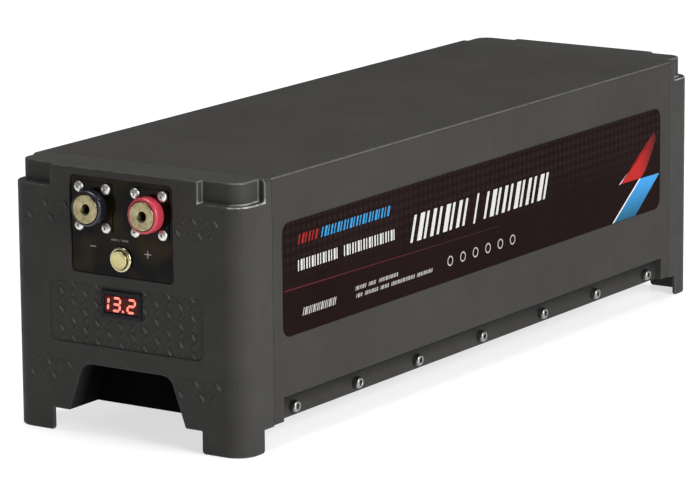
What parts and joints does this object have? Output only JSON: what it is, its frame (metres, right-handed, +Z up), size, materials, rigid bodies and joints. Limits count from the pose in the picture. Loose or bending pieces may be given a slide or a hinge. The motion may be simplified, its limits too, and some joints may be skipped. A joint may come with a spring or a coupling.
{
  "type": "deep cycle battery",
  "caption": "Long box-shaped deep cycle battery with moulded end caps on feet, screw terminals, a power button and a voltage display on one end.",
  "frame": {"origin": "bottom centre of the whole object's box, on the plane of the feet", "axes": "+Z up, +Y along the length towards the rear cap, so the terminals face -Y, and +X to the right when the terminals are faced"},
  "size_m": [0.1985, 0.633, 0.19],
  "materials": {
    "coated_metal": "satin powder coat",
    "moulded_plastic": "fine pebbled grain",
    "gloss_panel": "gloss",
    "black_collar": "gloss",
    "red_collar": "gloss",
    "terminal_brass": "turned",
    "screw_steel": "plated",
    "button_steel": "polished",
    "button_gold": "polished",
    "meter_face": "smoked filter over red digits",
    "printed_label": "satin film",
    "cell_wrap": "heat-shrunk film",
    "busbar_copper": "satin",
    "plate_aluminium": "milled",
    "band_steel": "rolled",
    "foam_pad": "closed-cell foam",
    "board_green": "solder mask",
    "red_lead": "silicone",
    "black_lead": "silicone"
  },
  "bodies": {
    "case": {"cover_sleeve": "coated_metal", "base_tray": "coated_metal", "front_end_cap": "moulded_plastic", "rear_end_cap": "moulded_plastic", "terminal_panel": "gloss_panel", "negative_terminal_collar": "black_collar", "positive_terminal_collar": "red_collar", "negative_terminal_stud": "terminal_brass", "positive_terminal_stud": "terminal_brass", "terminal_screw_1": "screw_steel", "terminal_screw_2": "screw_steel", "terminal_screw_3": "screw_steel", "terminal_screw_4": "screw_steel", "terminal_screw_5": "screw_steel", "terminal_screw_6": "screw_steel", "terminal_screw_7": "screw_steel", "terminal_screw_8": "screw_steel", "side_screw_left_1": "screw_steel", "side_screw_left_2": "screw_steel", "side_screw_left_3": "screw_steel", "side_screw_left_4": "screw_steel", "side_screw_left_5": "screw_steel", "side_screw_left_6": "screw_steel", "side_screw_left_7": "screw_steel", "side_screw_right_1": "screw_steel", "side_screw_right_2": "screw_steel", "side_screw_right_3": "screw_steel", "side_screw_right_4": "screw_steel", "side_screw_right_5": "screw_steel", "side_screw_right_6": "screw_steel", "side_screw_right_7": "screw_steel", "power_button_housing": "button_steel", "power_button_nut": "button_steel", "voltmeter_housing": "gloss_panel", "voltmeter_display": "meter_face", "side_label": "printed_label", "cell_1": "cell_wrap", "cell_2": "cell_wrap", "cell_3": "cell_wrap", "cell_4": "cell_wrap", "cell_5": "cell_wrap", "cell_6": "cell_wrap", "cell_7": "cell_wrap", "cell_8": "cell_wrap", "busbar_1": "busbar_copper", "busbar_2": "busbar_copper", "busbar_3": "busbar_copper", "busbar_4": "busbar_copper", "busbar_5": "busbar_copper", "cell_end_plate_front": "plate_aluminium", "cell_end_plate_rear": "plate_aluminium", "clamp_band_lower": "band_steel", "clamp_band_upper": "band_steel", "cell_pad": "foam_pad", "bms_board": "board_green", "bms_heatsink": "plate_aluminium", "positive_lead": "red_lead", "negative_lead": "black_lead", "pack_negative_lead": "black_lead"},
    "power_button": {"power_button_cap": "button_gold"}
  },
  "joints": [
    {"name": "power_button_press", "type": "slide", "parent": "case", "child": "power_button", "axis": [0, 1, 0], "range_m": [0, 0.0025], "stiffness_N_per_m": 1000, "springref_m": -0.002}
  ]
}
